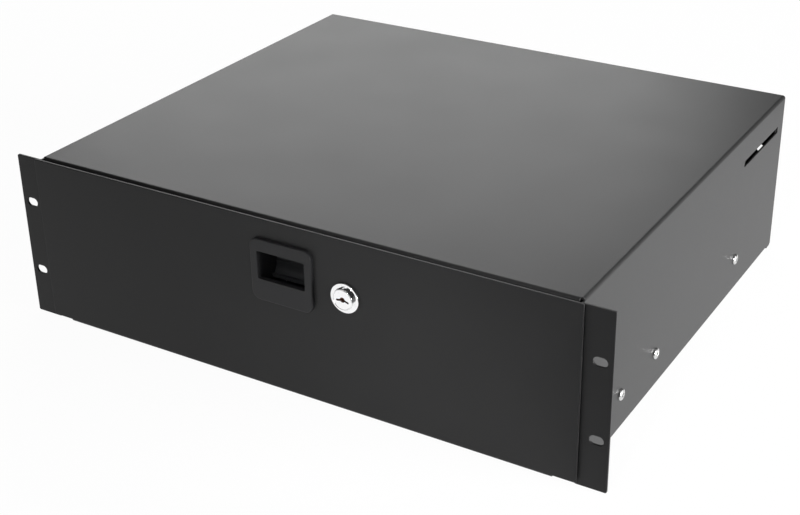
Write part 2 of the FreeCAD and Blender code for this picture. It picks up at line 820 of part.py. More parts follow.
def latch_spring(side):
    """Compression spring of squared wire between the pocket floor and the paddle."""
    low = pocket_low + spring_wire / 2 + fit
    high = pocket_low + spring_cap - spring_wire / 2 - fit
    radius = (spring_outer - spring_wire) / 2
    helix = Part.makeHelix((high - low) / spring_turns, high - low, radius)
    half = spring_wire / 2
    corners = [Vector(radius + x, 0, z) for x, z in
               ((-half, -half), (half, -half), (half, half), (-half, half), (-half, -half))]
    coil = Part.Wire(helix).makePipeShell([Part.makePolygon(corners)], True, True)
    middle = paddle_back + spring_boss / 2 - pocket_wall / 2
    coil.translate(Vector(side * spring_column, middle, low))
    return coil


# ---------------------------------------------------------------- cam lock
def lock_shell(radius, flat, front, length):
    """Round bar on the lock's axis with a flat on either side."""
    centre = Vector(lock_column, front, lock_axis)
    bar = rod(radius, centre, Vector(0, 1, 0), length)
    slab = box(lock_column - flat, lock_column + flat, front, front + length,
               lock_axis - radius, lock_axis + radius)
    return bar.common(slab)


def lock_barrel():
    """Chromed barrel: flange, raised collar and flatted body, bored for the plug."""
    axis = Vector(0, 1, 0)
    flange_face = front_face - lock_flange_thick
    collar_face = flange_face - lock_collar_thick
    flange = rod(lock_flange / 2, Vector(lock_column, flange_face, lock_axis), axis, lock_flange_thick)
    rim = [e for e in flange.Edges if e.BoundBox.YMax < flange_face + 1e-4]
    flange = flange.makeChamfer(lock_flange_thick / 2, rim)
    collar = rod(lock_collar / 2, Vector(lock_column, collar_face, lock_axis), axis, lock_collar_thick)
    rim = [e for e in collar.Edges if e.BoundBox.YMax < collar_face + 1e-4]
    collar = collar.makeChamfer(lock_collar_thick / 4, rim)
    body = lock_shell(lock_body / 2, lock_flat / 2, front_face, lock_body_length)
    barrel = joined([flange, collar, body])
    bore = rod(plug_size / 2 + fit, Vector(lock_column, collar_face, lock_axis), axis, keyway_depth + 2)
    tail = rod(plug_shaft / 2 + fit, Vector(lock_column, collar_face, lock_axis), axis,
               lock_back - collar_face)
    return barrel.cut([bore, tail])


def lock_plug():
    """Plug with its keyway, stepped down to a shaft that ends in a square for the cam."""
    axis = Vector(0, 1, 0)
    face = front_face - lock_flange_thick - lock_collar_thick
    head = rod(plug_size / 2, Vector(lock_column, face, lock_axis), axis, keyway_depth + 2 - fit)
    shaft = rod(plug_shaft / 2, Vector(lock_column, face, lock_axis), axis, cam_front - face)
    half = plug_square / 2
    square = box(lock_column - half, lock_column + half, cam_front, cam_front + cam_thick,
                 lock_axis - half, lock_axis + half)
    plug = joined([head, shaft, square])
    reach = keyway_length / 2
    blade = keyway_width / 2
    x = lock_column
    z = lock_axis
    keyway = box(x - reach, x + reach, face - 1, face + keyway_depth, z - blade, z + blade)
    ward = rod(keyway_round / 2, Vector(x, face - 1, z), axis, keyway_depth + 1)
    bore = rod(cam_screw_size / 2 + fit, Vector(x, cam_front + cam_thick, z), Vector(0, -1, 0),
               cam_screw_length)
    return plug.cut([keyway, ward, bore])


def lock_cam():
    """Cam plate on the plug's square, lying to the right while unlocked."""
    half = cam_width / 2
    front = Vector(lock_column, cam_front, lock_axis)
    hub = rod(half, front, Vector(0, 1, 0), cam_thick)
    tip_half = half * 0.72
    arm = outline([
        Vector(lock_column, cam_front, lock_axis - half),
        Vector(lock_column + half, cam_front, lock_axis - half),
        Vector(lock_column + cam_reach, cam_front, lock_axis - tip_half),
        Vector(lock_column + cam_reach, cam_front, lock_axis + tip_half),
        Vector(lock_column + half, cam_front, lock_axis + half),
        Vector(lock_column, cam_front, lock_axis + half),
    ], Vector(0, cam_thick, 0))
    seat = plug_square / 2 + fit
    hole = box(lock_column - seat, lock_column + seat, cam_front - 1, cam_front + cam_thick + 1,
               lock_axis - seat, lock_axis + seat)
    return joined([hub, arm]).cut(hole)


def cam_screw():
    """Screw that keeps the cam on the plug."""
    screw = pan_screw(cam_screw_size, cam_screw_head, 2.2, cam_screw_length - 1)
    return placed(screw, Vector(lock_column, cam_front + cam_thick, lock_axis), Vector(0, 1, 0))


def lock_washer():
    """Washer behind the drawer front, round the barrel."""
    disc = rod(lock_washer_size / 2, Vector(lock_column, front_back, lock_axis), Vector(0, 1, 0),
               lock_washer_thick)
    hole = rod(lock_body / 2 + hole_play, Vector(lock_column, front_back - 1, lock_axis),
               Vector(0, 1, 0), lock_washer_thick + 2)
    return disc.cut(hole)


def lock_nut():
    """Hexagon nut that draws the barrel's flange to the drawer front."""
    nut = hexagon(lock_nut_across, lock_nut_thick, lock_body / 2 + fit)
    seat = Vector(lock_column, front_back + lock_washer_thick, lock_axis)
    return placed(nut, seat, Vector(0, 1, 0))


# ---------------------------------------------------------------- all sub-parts
def sub_parts():
    """Every sub-part by its node name."""
    parts = {
        "case_cover": case_cover(),
        "rear_panel": rear_panel(),
        "bottom_rail_front": bottom_rail(rail_front),
        "bottom_rail_rear": bottom_rail(case_depth - rail_rear_gap - rail_width),
        "latch_keeper": latch_keeper(),
        "slide_screws": slide_screws(),
        "drawer_tray": drawer_tray(),
        "drawer_front": drawer_front(),
        "front_nuts": front_nuts(),
        "front_bumpers": front_bumpers(),
        "tray_screws": tray_screws(),
        "latch_housing": latch_housing(),
        "latch_retainer": latch_retainer(),
        "latch_screws": latch_screws(),
        "latch_paddle": latch_paddle(),
        "latch_bolt": latch_bolt(),
        "bolt_pins": bolt_pins(),
        "latch_spring_left": latch_spring(-1),
        "latch_spring_right": latch_spring(1),
        "lock_barrel": lock_barrel(),
        "lock_washer": lock_washer(),
        "lock_nut": lock_nut(),
        "lock_plug": lock_plug(),
        "lock_cam": lock_cam(),
        "cam_screw": cam_screw(),
    }
    right = {
        "slide_outer": slide_outer(),
        "slide_middle": slide_middle_member(),
        "slide_inner": slide_inner(),
        "outer_cage": ball_cage(slide_sheet + cage_gap, outer_row_reach, outer_row_height),
        "outer_balls": balls(outer_row_reach, outer_row_height),
        "inner_cage": ball_cage(inner_cage_web, inner_row_reach, inner_row_height),
        "inner_balls": balls(inner_row_reach, inner_row_height),
        "slide_bumper": slide_bumper(),
    }
    for name, shape in right.items():
        parts[name + "_right"] = shape
        parts[name + "_left"] = mirrored(shape)
    return parts


os.makedirs("parts", exist_ok=True)
for name, shape in sub_parts().items():
    shape.exportStep(os.path.join("parts", name + ".step"))
    print(f"{name:24s} {len(shape.Solids)} solids  {shape.Volume / 1000:9.3f} cm3  valid {shape.isValid()}")
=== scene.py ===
# %% [markdown]
# # A sliding rack drawer, dressed in Blender
#
# The drawer is a folded sheet-steel case with rack ears, a tray that runs out
# of it on ball-bearing slides, a moulded finger latch and a chromed cam lock.
# Its solids come from the CAD frame in metres and stay where they are. This
# lesson adds the camera, the light, the finishes and the small hardware.

import json
import math

import bmesh
import bpy
from mathutils import Matrix, Vector


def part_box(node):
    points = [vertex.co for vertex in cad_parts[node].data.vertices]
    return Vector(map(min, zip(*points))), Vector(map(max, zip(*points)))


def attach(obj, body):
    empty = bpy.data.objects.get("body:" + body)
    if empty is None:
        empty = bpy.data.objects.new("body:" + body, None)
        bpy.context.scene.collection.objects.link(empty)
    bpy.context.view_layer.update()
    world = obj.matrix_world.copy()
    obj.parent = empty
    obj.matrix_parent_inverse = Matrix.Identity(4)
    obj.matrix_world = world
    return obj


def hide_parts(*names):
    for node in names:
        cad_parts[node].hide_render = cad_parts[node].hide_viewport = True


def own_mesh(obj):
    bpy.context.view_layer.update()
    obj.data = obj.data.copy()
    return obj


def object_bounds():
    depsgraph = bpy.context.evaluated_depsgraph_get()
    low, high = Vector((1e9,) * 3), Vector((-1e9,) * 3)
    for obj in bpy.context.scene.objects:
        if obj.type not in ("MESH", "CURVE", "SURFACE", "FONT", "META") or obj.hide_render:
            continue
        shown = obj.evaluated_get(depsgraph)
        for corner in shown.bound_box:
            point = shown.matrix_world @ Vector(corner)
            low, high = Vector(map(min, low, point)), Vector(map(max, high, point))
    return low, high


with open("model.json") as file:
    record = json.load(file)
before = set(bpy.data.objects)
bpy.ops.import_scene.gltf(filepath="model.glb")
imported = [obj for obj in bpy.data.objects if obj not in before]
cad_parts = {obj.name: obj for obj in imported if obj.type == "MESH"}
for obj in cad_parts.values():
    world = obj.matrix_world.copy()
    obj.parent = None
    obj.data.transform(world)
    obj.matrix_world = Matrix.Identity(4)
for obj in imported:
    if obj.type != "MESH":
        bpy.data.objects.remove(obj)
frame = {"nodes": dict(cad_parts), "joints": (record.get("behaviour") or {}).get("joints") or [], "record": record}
cad_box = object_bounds()
MM = 0.001
print("CAD box in mm:", [[round(v / MM, 1) for v in corner] for corner in cad_box])

# %% [markdown]
# ## The camera
#
# A shelf product is usually shown from a little above and to one side, so that
# the front, the top and one side are all seen. A camera needs a place, a turn
# and a lens. The turn is built from three axes, because that keeps the small
# roll of a hand-held view as one plain number.


# %% Camera
def camera_axes(azimuth, elevation, roll):
    """Right, up and back axes of a camera that looks at the object from there."""
    back = Vector((
        math.sin(azimuth) * math.cos(elevation),
        -math.cos(azimuth) * math.cos(elevation),
        math.sin(elevation),
    ))
    right = (-back).cross(Vector((0, 0, 1))).normalized()
    up = back.cross(right)
    turned_right = right * math.cos(roll) + up * math.sin(roll)
    turned_up = up * math.cos(roll) - right * math.sin(roll)
    return turned_right, turned_up, back


AZIMUTH = math.radians(30.4803)
ELEVATION = math.radians(26.4673)
ROLL = math.radians(-0.5256)
EYE = Vector((0.524454, -0.702180, 0.494293))
LENS = 65.401
SENSOR = 36.0
SHIFT = (-0.0336, -0.0341)
NEAR, FAR = 0.05, 20.0

lens_data = bpy.data.cameras.new("shelf_camera")
lens_data.lens = LENS
lens_data.sensor_width = SENSOR
lens_data.shift_x, lens_data.shift_y = SHIFT
lens_data.clip_start, lens_data.clip_end = NEAR, FAR
camera = bpy.data.objects.new("shelf_camera", lens_data)
bpy.context.scene.collection.objects.link(camera)
axes = camera_axes(AZIMUTH, ELEVATION, ROLL)
turn = Matrix([list(axis) for axis in axes]).transposed().to_4x4()
camera.matrix_world = Matrix.Translation(EYE) @ turn
bpy.context.scene.camera = camera
print("camera", [round(v, 3) for v in EYE], "lens", lens_data.lens)

# %% [markdown]
# ## Writing shader maths as sums
#
# A finish is a network of nodes. It reads far better as a formula, so one
# small class wraps a socket and turns +, - and * into Math nodes. The
# reflected forms let a plain number stand first, as in 1 - mask.


# %% A socket that can be used in a formula
class Reading:
    """One output socket of a finish."""

    def __init__(self, finish, socket):
        self.finish = finish
        self.socket = socket

    def maths(self, operation, first, second):
        sockets = {0: first, 1: second}
        return self.finish.node("ShaderNodeMath", {"operation": operation}, sockets)

    def __add__(self, other):
        return self.maths("ADD", self, other)

    def __radd__(self, other):
        return self.maths("ADD", other, self)

    def __sub__(self, other):
        return self.maths("SUBTRACT", self, other)

    def __rsub__(self, other):
        return self.maths("SUBTRACT", other, self)

    def __mul__(self, other):
        return self.maths("MULTIPLY", self, other)

    def __rmul__(self, other):
        return self.maths("MULTIPLY", other, self)

    def at_most(self, limit):
        return self.maths("MINIMUM", self, limit)


# %% A finish: one material with its shader
class Finish:
    """A material whose constants are set on its Principled shader."""

    def __init__(self, name, **constants):
        self.material = bpy.data.materials.new(name)
        self.material.use_nodes = True
        self.tree = self.material.node_tree
        self.shader = self.tree.nodes["Principled BSDF"]
        for key, value in constants.items():
            self.shader.inputs[key.replace("_", " ")].default_value = value

    def node(self, kind, settings=None, sockets=None, output=0):
        """Adds a node: its settings first, then the values or links of its sockets."""
        made = self.tree.nodes.new(kind)
        for key, value in (settings or {}).items():
            if key == "stops":
                self.set_stops(made.color_ramp, value)
            else:
                setattr(made, key, value)
        for key, value in (sockets or {}).items():
            self.put(made.inputs[key], value)
        return Reading(self, made.outputs[output])

    def put(self, socket, value):
        """Links a reading to a socket, or sets a plain value on it."""
        if isinstance(value, Reading):
            self.tree.links.new(value.socket, socket)
        else:
            socket.default_value = value

    def set_stops(self, ramp, stops):
        """Gives a colour ramp its stops, as (place, grey or colour)."""
        while len(ramp.elements) < len(stops):
            ramp.elements.new(0.5)
        for element, (place, tone) in zip(ramp.elements, stops):
            element.position = place
            element.color = (*tone, 1) if isinstance(tone, tuple) else (tone, tone, tone, 1)

    def feed(self, name, value):
        """Feeds what changes over the surface into the shader."""
        self.put(self.shader.inputs[name], value)

    # Readings that most finishes share.

    def place(self, stretch=(1, 1, 1)):
        """Where a point is on the object, stretched along each axis."""
        here = self.node("ShaderNodeTexCoord", output="Object")
        settings = {"operation": "MULTIPLY"}
        return self.node("ShaderNodeVectorMath", settings, {0: here, 1: stretch})

    def noise(self, size, detail=3.0, stretch=(1, 1, 1)):
        """Noise with features of a size in metres."""
        sockets = {
            "Vector": self.place(stretch),
            "Scale": 1 / size,
            "Detail": detail,
        }
        return self.node("ShaderNodeTexNoise", {}, sockets, output="Fac")

    def ramp(self, reading, *stops):
        """A reading sent through a ramp with these stops."""
        return self.node("ShaderNodeValToRGB", {"stops": stops}, {"Fac": reading})

    def mix(self, share, first, second):
        """A colour between two."""
        sockets = {0: share, 6: first, 7: second}
        return self.node("ShaderNodeMix", {"data_type": "RGBA"}, sockets, output=2)

    def soft_edges(self, radius):
        """Normals that turn smoothly round an edge of this radius."""
        return self.node("ShaderNodeBevel", {"samples": 6}, {"Radius": radius})

    def edge_mask(self, radius):
        """0 on a flat, up to 1 on an edge: how far a softened normal leans."""
        flat = self.node("ShaderNodeNewGeometry", output="Normal")
        bent = self.soft_edges(radius)
        lean = self.node("ShaderNodeVectorMath", {"operation": "DOT_PRODUCT"},
                         {0: flat, 1: bent}, output="Value")
        return self.ramp(1 - lean, (0.02, 0.0), (0.25, 1.0))

    def bump(self, height, depth, edges=None):
        """Raises the surface by height, up to a depth in metres."""
        sockets = {"Height": height, "Distance": depth, "Strength": 1.0}
        if edges is not None:
            sockets["Normal"] = edges
        self.feed("Normal", self.node("ShaderNodeBump", {}, sockets))


print("shader helpers ready")

# %% [markdown]
# ## Powder coat
#
# The case, the ears and the drawer's front are steel with a fine, satin black
# powder coat. Cured powder leaves a tight orange peel a few tenths of a
# millimetre across, and handling polishes it a little unevenly. A dark base
# with a mid roughness gives the sheen. One fine noise gives the peel and a
# broad one clouds the tone. The shader's specular level is low, because the
# coat's gloss is weak. Edges wear first, so a mask from softened normals makes
# them slightly lighter and duller.


# %% Powder coat
def powder_coat():
    """Satin black powder coat with a fine peel and lightly rubbed edges."""
    coat = Finish("powder_coat", Specular_IOR_Level=0.17)
    peel = coat.noise(0.55 * MM, detail=2.0)
    cloud = coat.noise(60 * MM, detail=3.0)
    edge = coat.edge_mask(0.5 * MM)
    rub = edge * coat.ramp(coat.noise(9 * MM), (0.45, 0.0), (0.7, 1.0))
    base = coat.mix(cloud, (0.0140, 0.0140, 0.0143, 1), (0.0180, 0.0180, 0.0182, 1))
    coat.feed("Base Color", coat.mix(rub * 0.3, base, (0.045, 0.045, 0.044, 1)))
    coat.feed("Roughness", 0.33 + 0.05 * cloud + 0.06 * peel + 0.35 * edge)
    coat.bump(peel, 0.012 * MM, coat.soft_edges(1.0 * MM))
    return coat.material


finishes = {"powder_coat": powder_coat()}
print("made", list(finishes))

# %% [markdown]
# ## Bare and plated steels
#
# The slides are zinc-plated strip, rolled along their length, so their fine
# lines run front to back. The cages are thinner and yellower, the balls are
# polished, and the screws and lock are plated bright. One recipe covers them:
# a metal with streaks along one axis, and a roughness that the streaks vary.


# %% Rolled and plated steels
SCUFF = 0.075  # how much duller the scuffed spots are


def rolled_steel(name, dark, bright, rough, stretch):
    """Plated steel with rolling streaks across the stretched axes."""
    steel = Finish(name, Metallic=1.0)
    streak = steel.noise(0.8 * MM, detail=4.0, stretch=stretch)
    cloud = steel.noise(14 * MM, detail=4.0)
    marks = steel.ramp(steel.noise(2.5 * MM, detail=6.0), (0.58, 0.0), (0.75, 1.0))
    colour = steel.mix(streak * 0.6 + cloud * 0.4, (*dark, 1), (*bright, 1))
    steel.feed("Base Color", colour)
    steel.feed("Roughness", rough + 0.12 * streak + SCUFF * marks)
    steel.bump(streak + marks * 0.4, 0.006 * MM, steel.soft_edges(0.2 * MM))
    return steel.material


ALONG = (1, 0.04, 1)
EVEN = (1, 1, 1)
for finish_name, dark, bright, rough, stretch in (
    ("zinc_steel", (0.42, 0.44, 0.46), (0.66, 0.68, 0.70), 0.26, ALONG),
    ("cage_steel", (0.48, 0.42, 0.28), (0.70, 0.63, 0.45), 0.30, ALONG),
    ("ball_steel", (0.62, 0.62, 0.63), (0.78, 0.78, 0.79), 0.06, EVEN),
    ("nickel_steel", (0.52, 0.50, 0.46), (0.74, 0.72, 0.67), 0.22, EVEN),
    ("fastener_steel", (0.50, 0.50, 0.50), (0.74, 0.74, 0.73), 0.20, EVEN),
):
    finishes[finish_name] = rolled_steel(finish_name, dark, bright, rough, stretch)
print("made", list(finishes))

# %% [markdown]
# ## Chrome, moulded plastic and rubber
#
# The lock is bright chrome over brass: nearly white, very smooth, with hair
# scratches where the key slips. The latch is black nylon with the fine spark
# texture of its mould, a shade more matt than the coat around it. The stops
# are rubber, which is duller still and gathers dust.


# %% Chrome
def lock_chrome():
    """Bright chrome with faint ripples and hair scratches."""
    chrome = Finish("lock_chrome", Metallic=1.0)
    ripple = chrome.noise(3 * MM, detail=2.0)
    hair = chrome.ramp(chrome.noise(0.5 * MM, 5.0, (1, 1, 0.08)), (0.62, 0.0), (0.72, 1.0))
    colour = chrome.mix(hair, (0.93, 0.93, 0.935, 1), (0.80, 0.80, 0.81, 1))
    chrome.feed("Base Color", colour)
    chrome.feed("Roughness", 0.035 + 0.02 * ripple + 0.12 * hair)
    chrome.bump(ripple, 0.002 * MM)
    return chrome.material


# %% Plastic and rubber
def moulded(name, dark, pale, rough, grain, level):
    """Moulded black polymer: spark texture, soft edges, a trace of dust."""
    skin = Finish(name, Specular_IOR_Level=level)
    spark = skin.noise(grain, detail=2.0)
    dust = skin.ramp(skin.noise(6 * MM, detail=5.0), (0.5, 0.0), (0.8, 1.0))
    skin.feed("Base Color", skin.mix(dust * 0.4, (*dark, 1), (*pale, 1)))
    skin.feed("Roughness", rough + 0.1 * spark + 0.08 * dust)
    skin.bump(spark, 0.01 * MM, skin.soft_edges(0.7 * MM))
    return skin.material


finishes["lock_chrome"] = lock_chrome()
finishes["latch_plastic"] = moulded(
    "latch_plastic", (0.012, 0.012, 0.013), (0.019, 0.019, 0.019), 0.36, 0.3 * MM, 0.26)
finishes["rubber"] = moulded(
    "rubber", (0.010, 0.010, 0.010), (0.030, 0.029, 0.027), 0.72, 0.4 * MM, 0.3)
print("made", len(finishes), "finishes")

# %% [markdown]
# ## Dressing the solids
#
# The record names a material slot for each node, so each solid takes the
# finish of that name.


# %% Give each solid its finish
for row in frame["record"]["subparts"]:
    solid = frame["nodes"][row["node"]]
    solid.data.materials.clear()
    solid.data.materials.append(finishes[row["material_slot"]])
print("dressed", len(frame["nodes"]), "solids")

# %% [markdown]
# ## Making a piece
#
# Small hardware shows threads, recesses and round wire, which a solid for
# construction leaves out. Such a piece is built as a mesh at the place of its
# solid, takes the finish of the same slot, moves with the same body and
# stands in for the solid. Faces that meet at a shallow angle are shaded as
# one curve, and sharper ones keep their edge.

# %% From a mesh under construction to a piece
SHARP = math.radians(32)


def add_piece(name, shape, slot_name, body, *solid_names):
    """Makes an object of a bmesh, riding on a body and standing for CAD nodes."""
    mesh = bpy.data.meshes.new(name)
    bmesh.ops.recalc_face_normals(shape, faces=shape.faces)
    shape.to_mesh(mesh)
    shape.free()
    mesh.polygons.foreach_set("use_smooth", [True] * len(mesh.polygons))
    mesh.set_sharp_from_angle(angle=SHARP)
    mesh.materials.append(finishes[slot_name])
    piece = bpy.data.objects.new(name, mesh)
    bpy.context.scene.collection.objects.link(piece)
    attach(piece, body)
    if solid_names:
        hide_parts(*solid_names)
    return piece


# %% Finding the separate solids of a node
def separate_solids(name):
    """The points of each closed solid in a CAD node, one list for each."""
    shape = bmesh.new()
    shape.from_mesh(frame["nodes"][name].data)
    bmesh.ops.remove_doubles(shape, verts=shape.verts, dist=0.001 * MM)
    seen = set()
    solids = []
    for start in shape.verts:
        if start in seen:
            continue
        seen.add(start)
        group = [start]
        for vert in group:
            nearby = [edge.other_vert(vert) for edge in vert.link_edges]
            fresh = [other for other in nearby if other not in seen]
            seen.update(fresh)
            group.extend(fresh)
        solids.append([vert.co.copy() for vert in group])
    shape.free()
    return solids


print("screws on the case:", len(separate_solids("slide_screws")))

# %% [markdown]
# ## Screws
#
# The slides, the tray, the latch and the cam are held by pan head screws with
# a cross recess. A screw is a turned part, so most of it is a profile spun
# about its axis: crown, rim, seat, then the crests and roots of the thread.
# Only the recess isn't round. It could be cut with a Boolean, but filling the
# flat between the crown's ring and a cross outline gives cleaner faces.


# %% Size and place of a screw
def screw_measures(points, axis):
    """Seat, direction and sizes of a screw, from the points of its solid."""
    others = [k for k in range(3) if k != axis]
    low = [min(p[k] for p in points) for k in range(3)]
    high = [max(p[k] for p in points) for k in range(3)]
    middle = [(a + b) / 2 for a, b in zip(low, high)]

    def off_axis(point):
        return math.hypot(*(point[k] - middle[k] for k in others))

    ends = [[off_axis(p) for p in points if abs(p[axis] - end) < 0.01 * MM]
            for end in (low[axis], high[axis])]
    sign = 1 if max(ends[1]) > max(ends[0]) else -1
    top = high[axis] if sign > 0 else low[axis]
    shank = min(max(end) for end in ends)
    head = max(off_axis(p) for p in points)
    depths = [abs(top - p[axis]) for p in points]
    seat_depth = max(d for p, d in zip(points, depths) if off_axis(p) > shank * 1.2)
    seat = list(middle)
    seat[axis] = top - sign * seat_depth
    direction = [0, 0, 0]
    direction[axis] = sign
    return {
        "seat": Vector(seat),
        "direction": Vector(direction),
        "head": head,
        "height": seat_depth,
        "shank": shank,
        "length": max(depths) - seat_depth,
    }


print("first screw:", screw_measures(separate_solids("slide_screws")[0], 0))


# %% The turned part of a screw
SECTORS = 48
THREAD_PITCH = 0.7 * MM
THREAD_DEPTH = 0.22 * MM
THREAD_START = 0.4 * MM
CROWN_STEPS = 6
CROWN_FLAT = 0.62   # radius of the crown's flat, as a share of the head's radius
RIM_HEIGHT = 0.30   # top of the head's rim, as a share of its height
RIM_CHAMFER = 0.06
TIP = 0.72          # radius at the tip, as a share of the shank's


def screw_profile(sizes):
    """Radius and height from the edge of the crown's flat down to the tip."""
    head, height = sizes["head"], sizes["height"]
    flat = head * CROWN_FLAT
    profile = []
    for step in range(CROWN_STEPS + 1):
        turn = math.pi / 2 * step / CROWN_STEPS
        profile.append((flat + (head - flat) * math.sin(turn),
                        height * (RIM_HEIGHT + (1 - RIM_HEIGHT) * math.cos(turn))))
    profile.append((head, RIM_CHAMFER * height))
    profile.append((head - RIM_CHAMFER * height, 0))
    shank = sizes["shank"]
    profile.append((shank, 0))
    depth = THREAD_START
    while depth < sizes["length"] - THREAD_PITCH:
        profile.append((shank, -depth))
        profile.append((shank - THREAD_DEPTH, -depth - THREAD_PITCH / 2))
        depth += THREAD_PITCH
    profile.append((shank, -depth))
    profile.append((shank * TIP, -sizes["length"]))
    return profile


def ring_of(shape, radius, height):
    """A ring of points about the axis."""
    angles = [2 * math.pi * k / SECTORS for k in range(SECTORS)]
    return [shape.verts.new((radius * math.cos(a), radius * math.sin(a), height))
            for a in angles]


def bridge(shape, upper, lower):
    """A band of quads between two rings."""
    for k in range(len(upper)):
        after = (k + 1) % len(upper)
        shape.faces.new((upper[k], upper[after], lower[after], lower[k]))


# %% The cross recess
RECESS_MOUTH = (0.52, 0.12)   # reach and half width, as shares of the head's radius
RECESS_FLOOR = (0.30, 0.08)
RECESS_LEVEL = 0.30           # height of the recess's floor, as a share of the head's


def cross_outline(shape, reach, half, height):
    """Twelve points of a cross."""
    corner = [(reach, -half), (reach, half), (half, half)]
    points = []
    for quarter in range(4):
        angle = quarter * math.pi / 2
        cos, sin = round(math.cos(angle)), round(math.sin(angle))
        points += [(x * cos - y * sin, x * sin + y * cos) for x, y in corner]
    return [shape.verts.new((x, y, height)) for x, y in points]


def screw_shape(sizes, twist):
    """A whole screw about its own axis, its recess turned by an angle."""
    shape = bmesh.new()
    rings = [ring_of(shape, radius, height) for radius, height in screw_profile(sizes)]
    for upper, lower in zip(rings, rings[1:]):
        bridge(shape, upper, lower)
    shape.faces.new(rings[-1])
    mouth = cross_outline(
        shape, *(sizes["head"] * share for share in RECESS_MOUTH), sizes["height"])
    foot = cross_outline(
        shape, *(sizes["head"] * share for share in RECESS_FLOOR),
        sizes["height"] * RECESS_LEVEL)
    bridge(shape, mouth, foot)
    shape.faces.new(foot)
    rim = [shape.edges.get((a, b)) for a, b in zip(rings[0], rings[0][1:] + rings[0][:1])]
    lip = [shape.edges.get((a, b)) for a, b in zip(mouth, mouth[1:] + mouth[:1])]
    bmesh.ops.triangle_fill(shape, use_beauty=True, edges=rim + lip, normal=(0, 0, 1))
    bmesh.ops.rotate(shape, verts=shape.verts, matrix=Matrix.Rotation(twist, 3, "Z"))
    return shape


# %% Screws in place of their solids
GOLDEN_ANGLE = math.radians(137.5)


def place_screws(name, axis, body):
    """Builds every screw of a node as one piece."""
    joined = bmesh.new()
    solids = separate_solids(name)
    for count, points in enumerate(solids):
        sizes = screw_measures(points, axis)
        shape = screw_shape(sizes, GOLDEN_ANGLE * (count + 1))
        turn = sizes["direction"].to_track_quat("Z", "Y").to_matrix().to_4x4()
        shape.transform(Matrix.Translation(sizes["seat"]) @ turn)
        loose = bpy.data.meshes.new("screw")
        shape.to_mesh(loose)
        shape.free()
        joined.from_mesh(loose)
        bpy.data.meshes.remove(loose)
    add_piece("turned_" + name, joined, "fastener_steel", body, name)
    print(name, "screws:", len(solids))


place_screws("slide_screws", 0, "case")
place_screws("tray_screws", 0, "drawer")
place_screws("latch_screws", 1, "drawer")
place_screws("cam_screw", 1, "lock_core")

# %% [markdown]
# ## Latch springs
#
# Two small compression springs push the finger paddle up. Real ones are
# coiled from round wire with the end turns closed, so that they stand flat.
# A ring of points swept along the coil gives the wire. When the latch is
# pressed the real coil shortens; the share it keeps is worked out, but the piece isn't squashed.

# %% Coil
WIRE = 0.5 * MM
TURNS = 6
STEPS_A_TURN = 28
WIRE_SIDES = 10


def coil_height(share):
    """Rise of a coil with closed ends: slow over the first and last eighth."""
    closed = 0.125   # share of the coil that each closed end takes
    slow = 0.35      # its rise there, against an even coil's
    fast = (1 - 2 * closed * slow) / (1 - 2 * closed)
    if share < closed:
        return share * slow
    if share > 1 - closed:
        return 1 - (1 - share) * slow
    return closed * slow + (share - closed) * fast


def coil_shape(middle, radius, low, high):
    """Round wire coiled about a vertical line."""
    shape = bmesh.new()
    steps = TURNS * STEPS_A_TURN
    rings = []
    for step in range(steps + 1):
        angle = 2 * math.pi * step / STEPS_A_TURN
        out = Vector((math.cos(angle), math.sin(angle), 0))
        centre = middle + out * radius
        centre.z = low + (high - low) * coil_height(step / steps)
        ring = []
        for side in range(WIRE_SIDES):
            turn = 2 * math.pi * side / WIRE_SIDES
            offset = out * math.cos(turn) + Vector((0, 0, 1)) * math.sin(turn)
            ring.append(shape.verts.new(centre + offset * WIRE / 2))
        rings.append(ring)
    for first, second in zip(rings, rings[1:]):
        bridge(shape, first, second)
    shape.faces.new(rings[0])
    shape.faces.new(rings[-1])
    return shape


# %% Springs in place of their solids
press = next(joint for joint in frame["joints"] if joint["name"] == "latch_press")
stroke = press["range_m"][1]
for side in ("left", "right"):
    low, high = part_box("latch_spring_" + side)
    middle = (low + high) / 2
    radius = (high.x - low.x - WIRE) / 2
    shape = coil_shape(middle, radius, low.z + WIRE / 2, high.z - WIRE / 2)
    coil = add_piece("coil_" + side, shape, "fastener_steel", "drawer",
                     "latch_spring_" + side)
    keep = 1 - stroke / (high.z - low.z)
    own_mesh(coil)
print("coils shortened by", round(stroke / MM, 2), "mm when the latch is pressed")

# %% [markdown]
# ## Cam lock
#
# The lock's barrel is turned zinc with a flange, a raised collar and two flats
# on its body, all chromed. The plug sits in it with a fine gap round its face
# and a wavy keyway, behind which the edges of the brass wafers show. Chrome
# mirrors everything, so its edges need real curvature: both parts are spun
# from profiles with rounded corners rather than softened in the shader.

# %% Where the lock is
barrel_low, barrel_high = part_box("lock_barrel")
lock_axis = (barrel_low + barrel_high) / 2
lock_face = barrel_low.y
lock_length = (barrel_high.y - barrel_low.y) / MM
SPIN_SECTORS = 96


def spun_ring(shape, radius, depth, flat=None):
    """Ring about the lock's axis, depth behind its face, all in mm."""
    ring = []
    for step in range(SPIN_SECTORS):
        angle = 2 * math.pi * step / SPIN_SECTORS
        across, rise = radius * math.cos(angle), radius * math.sin(angle)
        if flat:
            across = max(-flat / 2, min(flat / 2, across))
        place = (lock_axis.x + across * MM, lock_face + depth * MM, lock_axis.z + rise * MM)
        ring.append(shape.verts.new(place))
    return ring


def rounded(radius, depth, corner, steps=5):
    """Profile points that turn from a face into a rim with a round corner."""
    points = []
    for step in range(steps + 1):
        angle = math.pi / 2 * step / steps
        points.append((radius - corner * (1 - math.sin(angle)),
                       depth + corner * (1 - math.cos(angle))))
    return points


print("lock face at", round(lock_face / MM, 2), "mm, length", round(lock_length, 2), "mm")

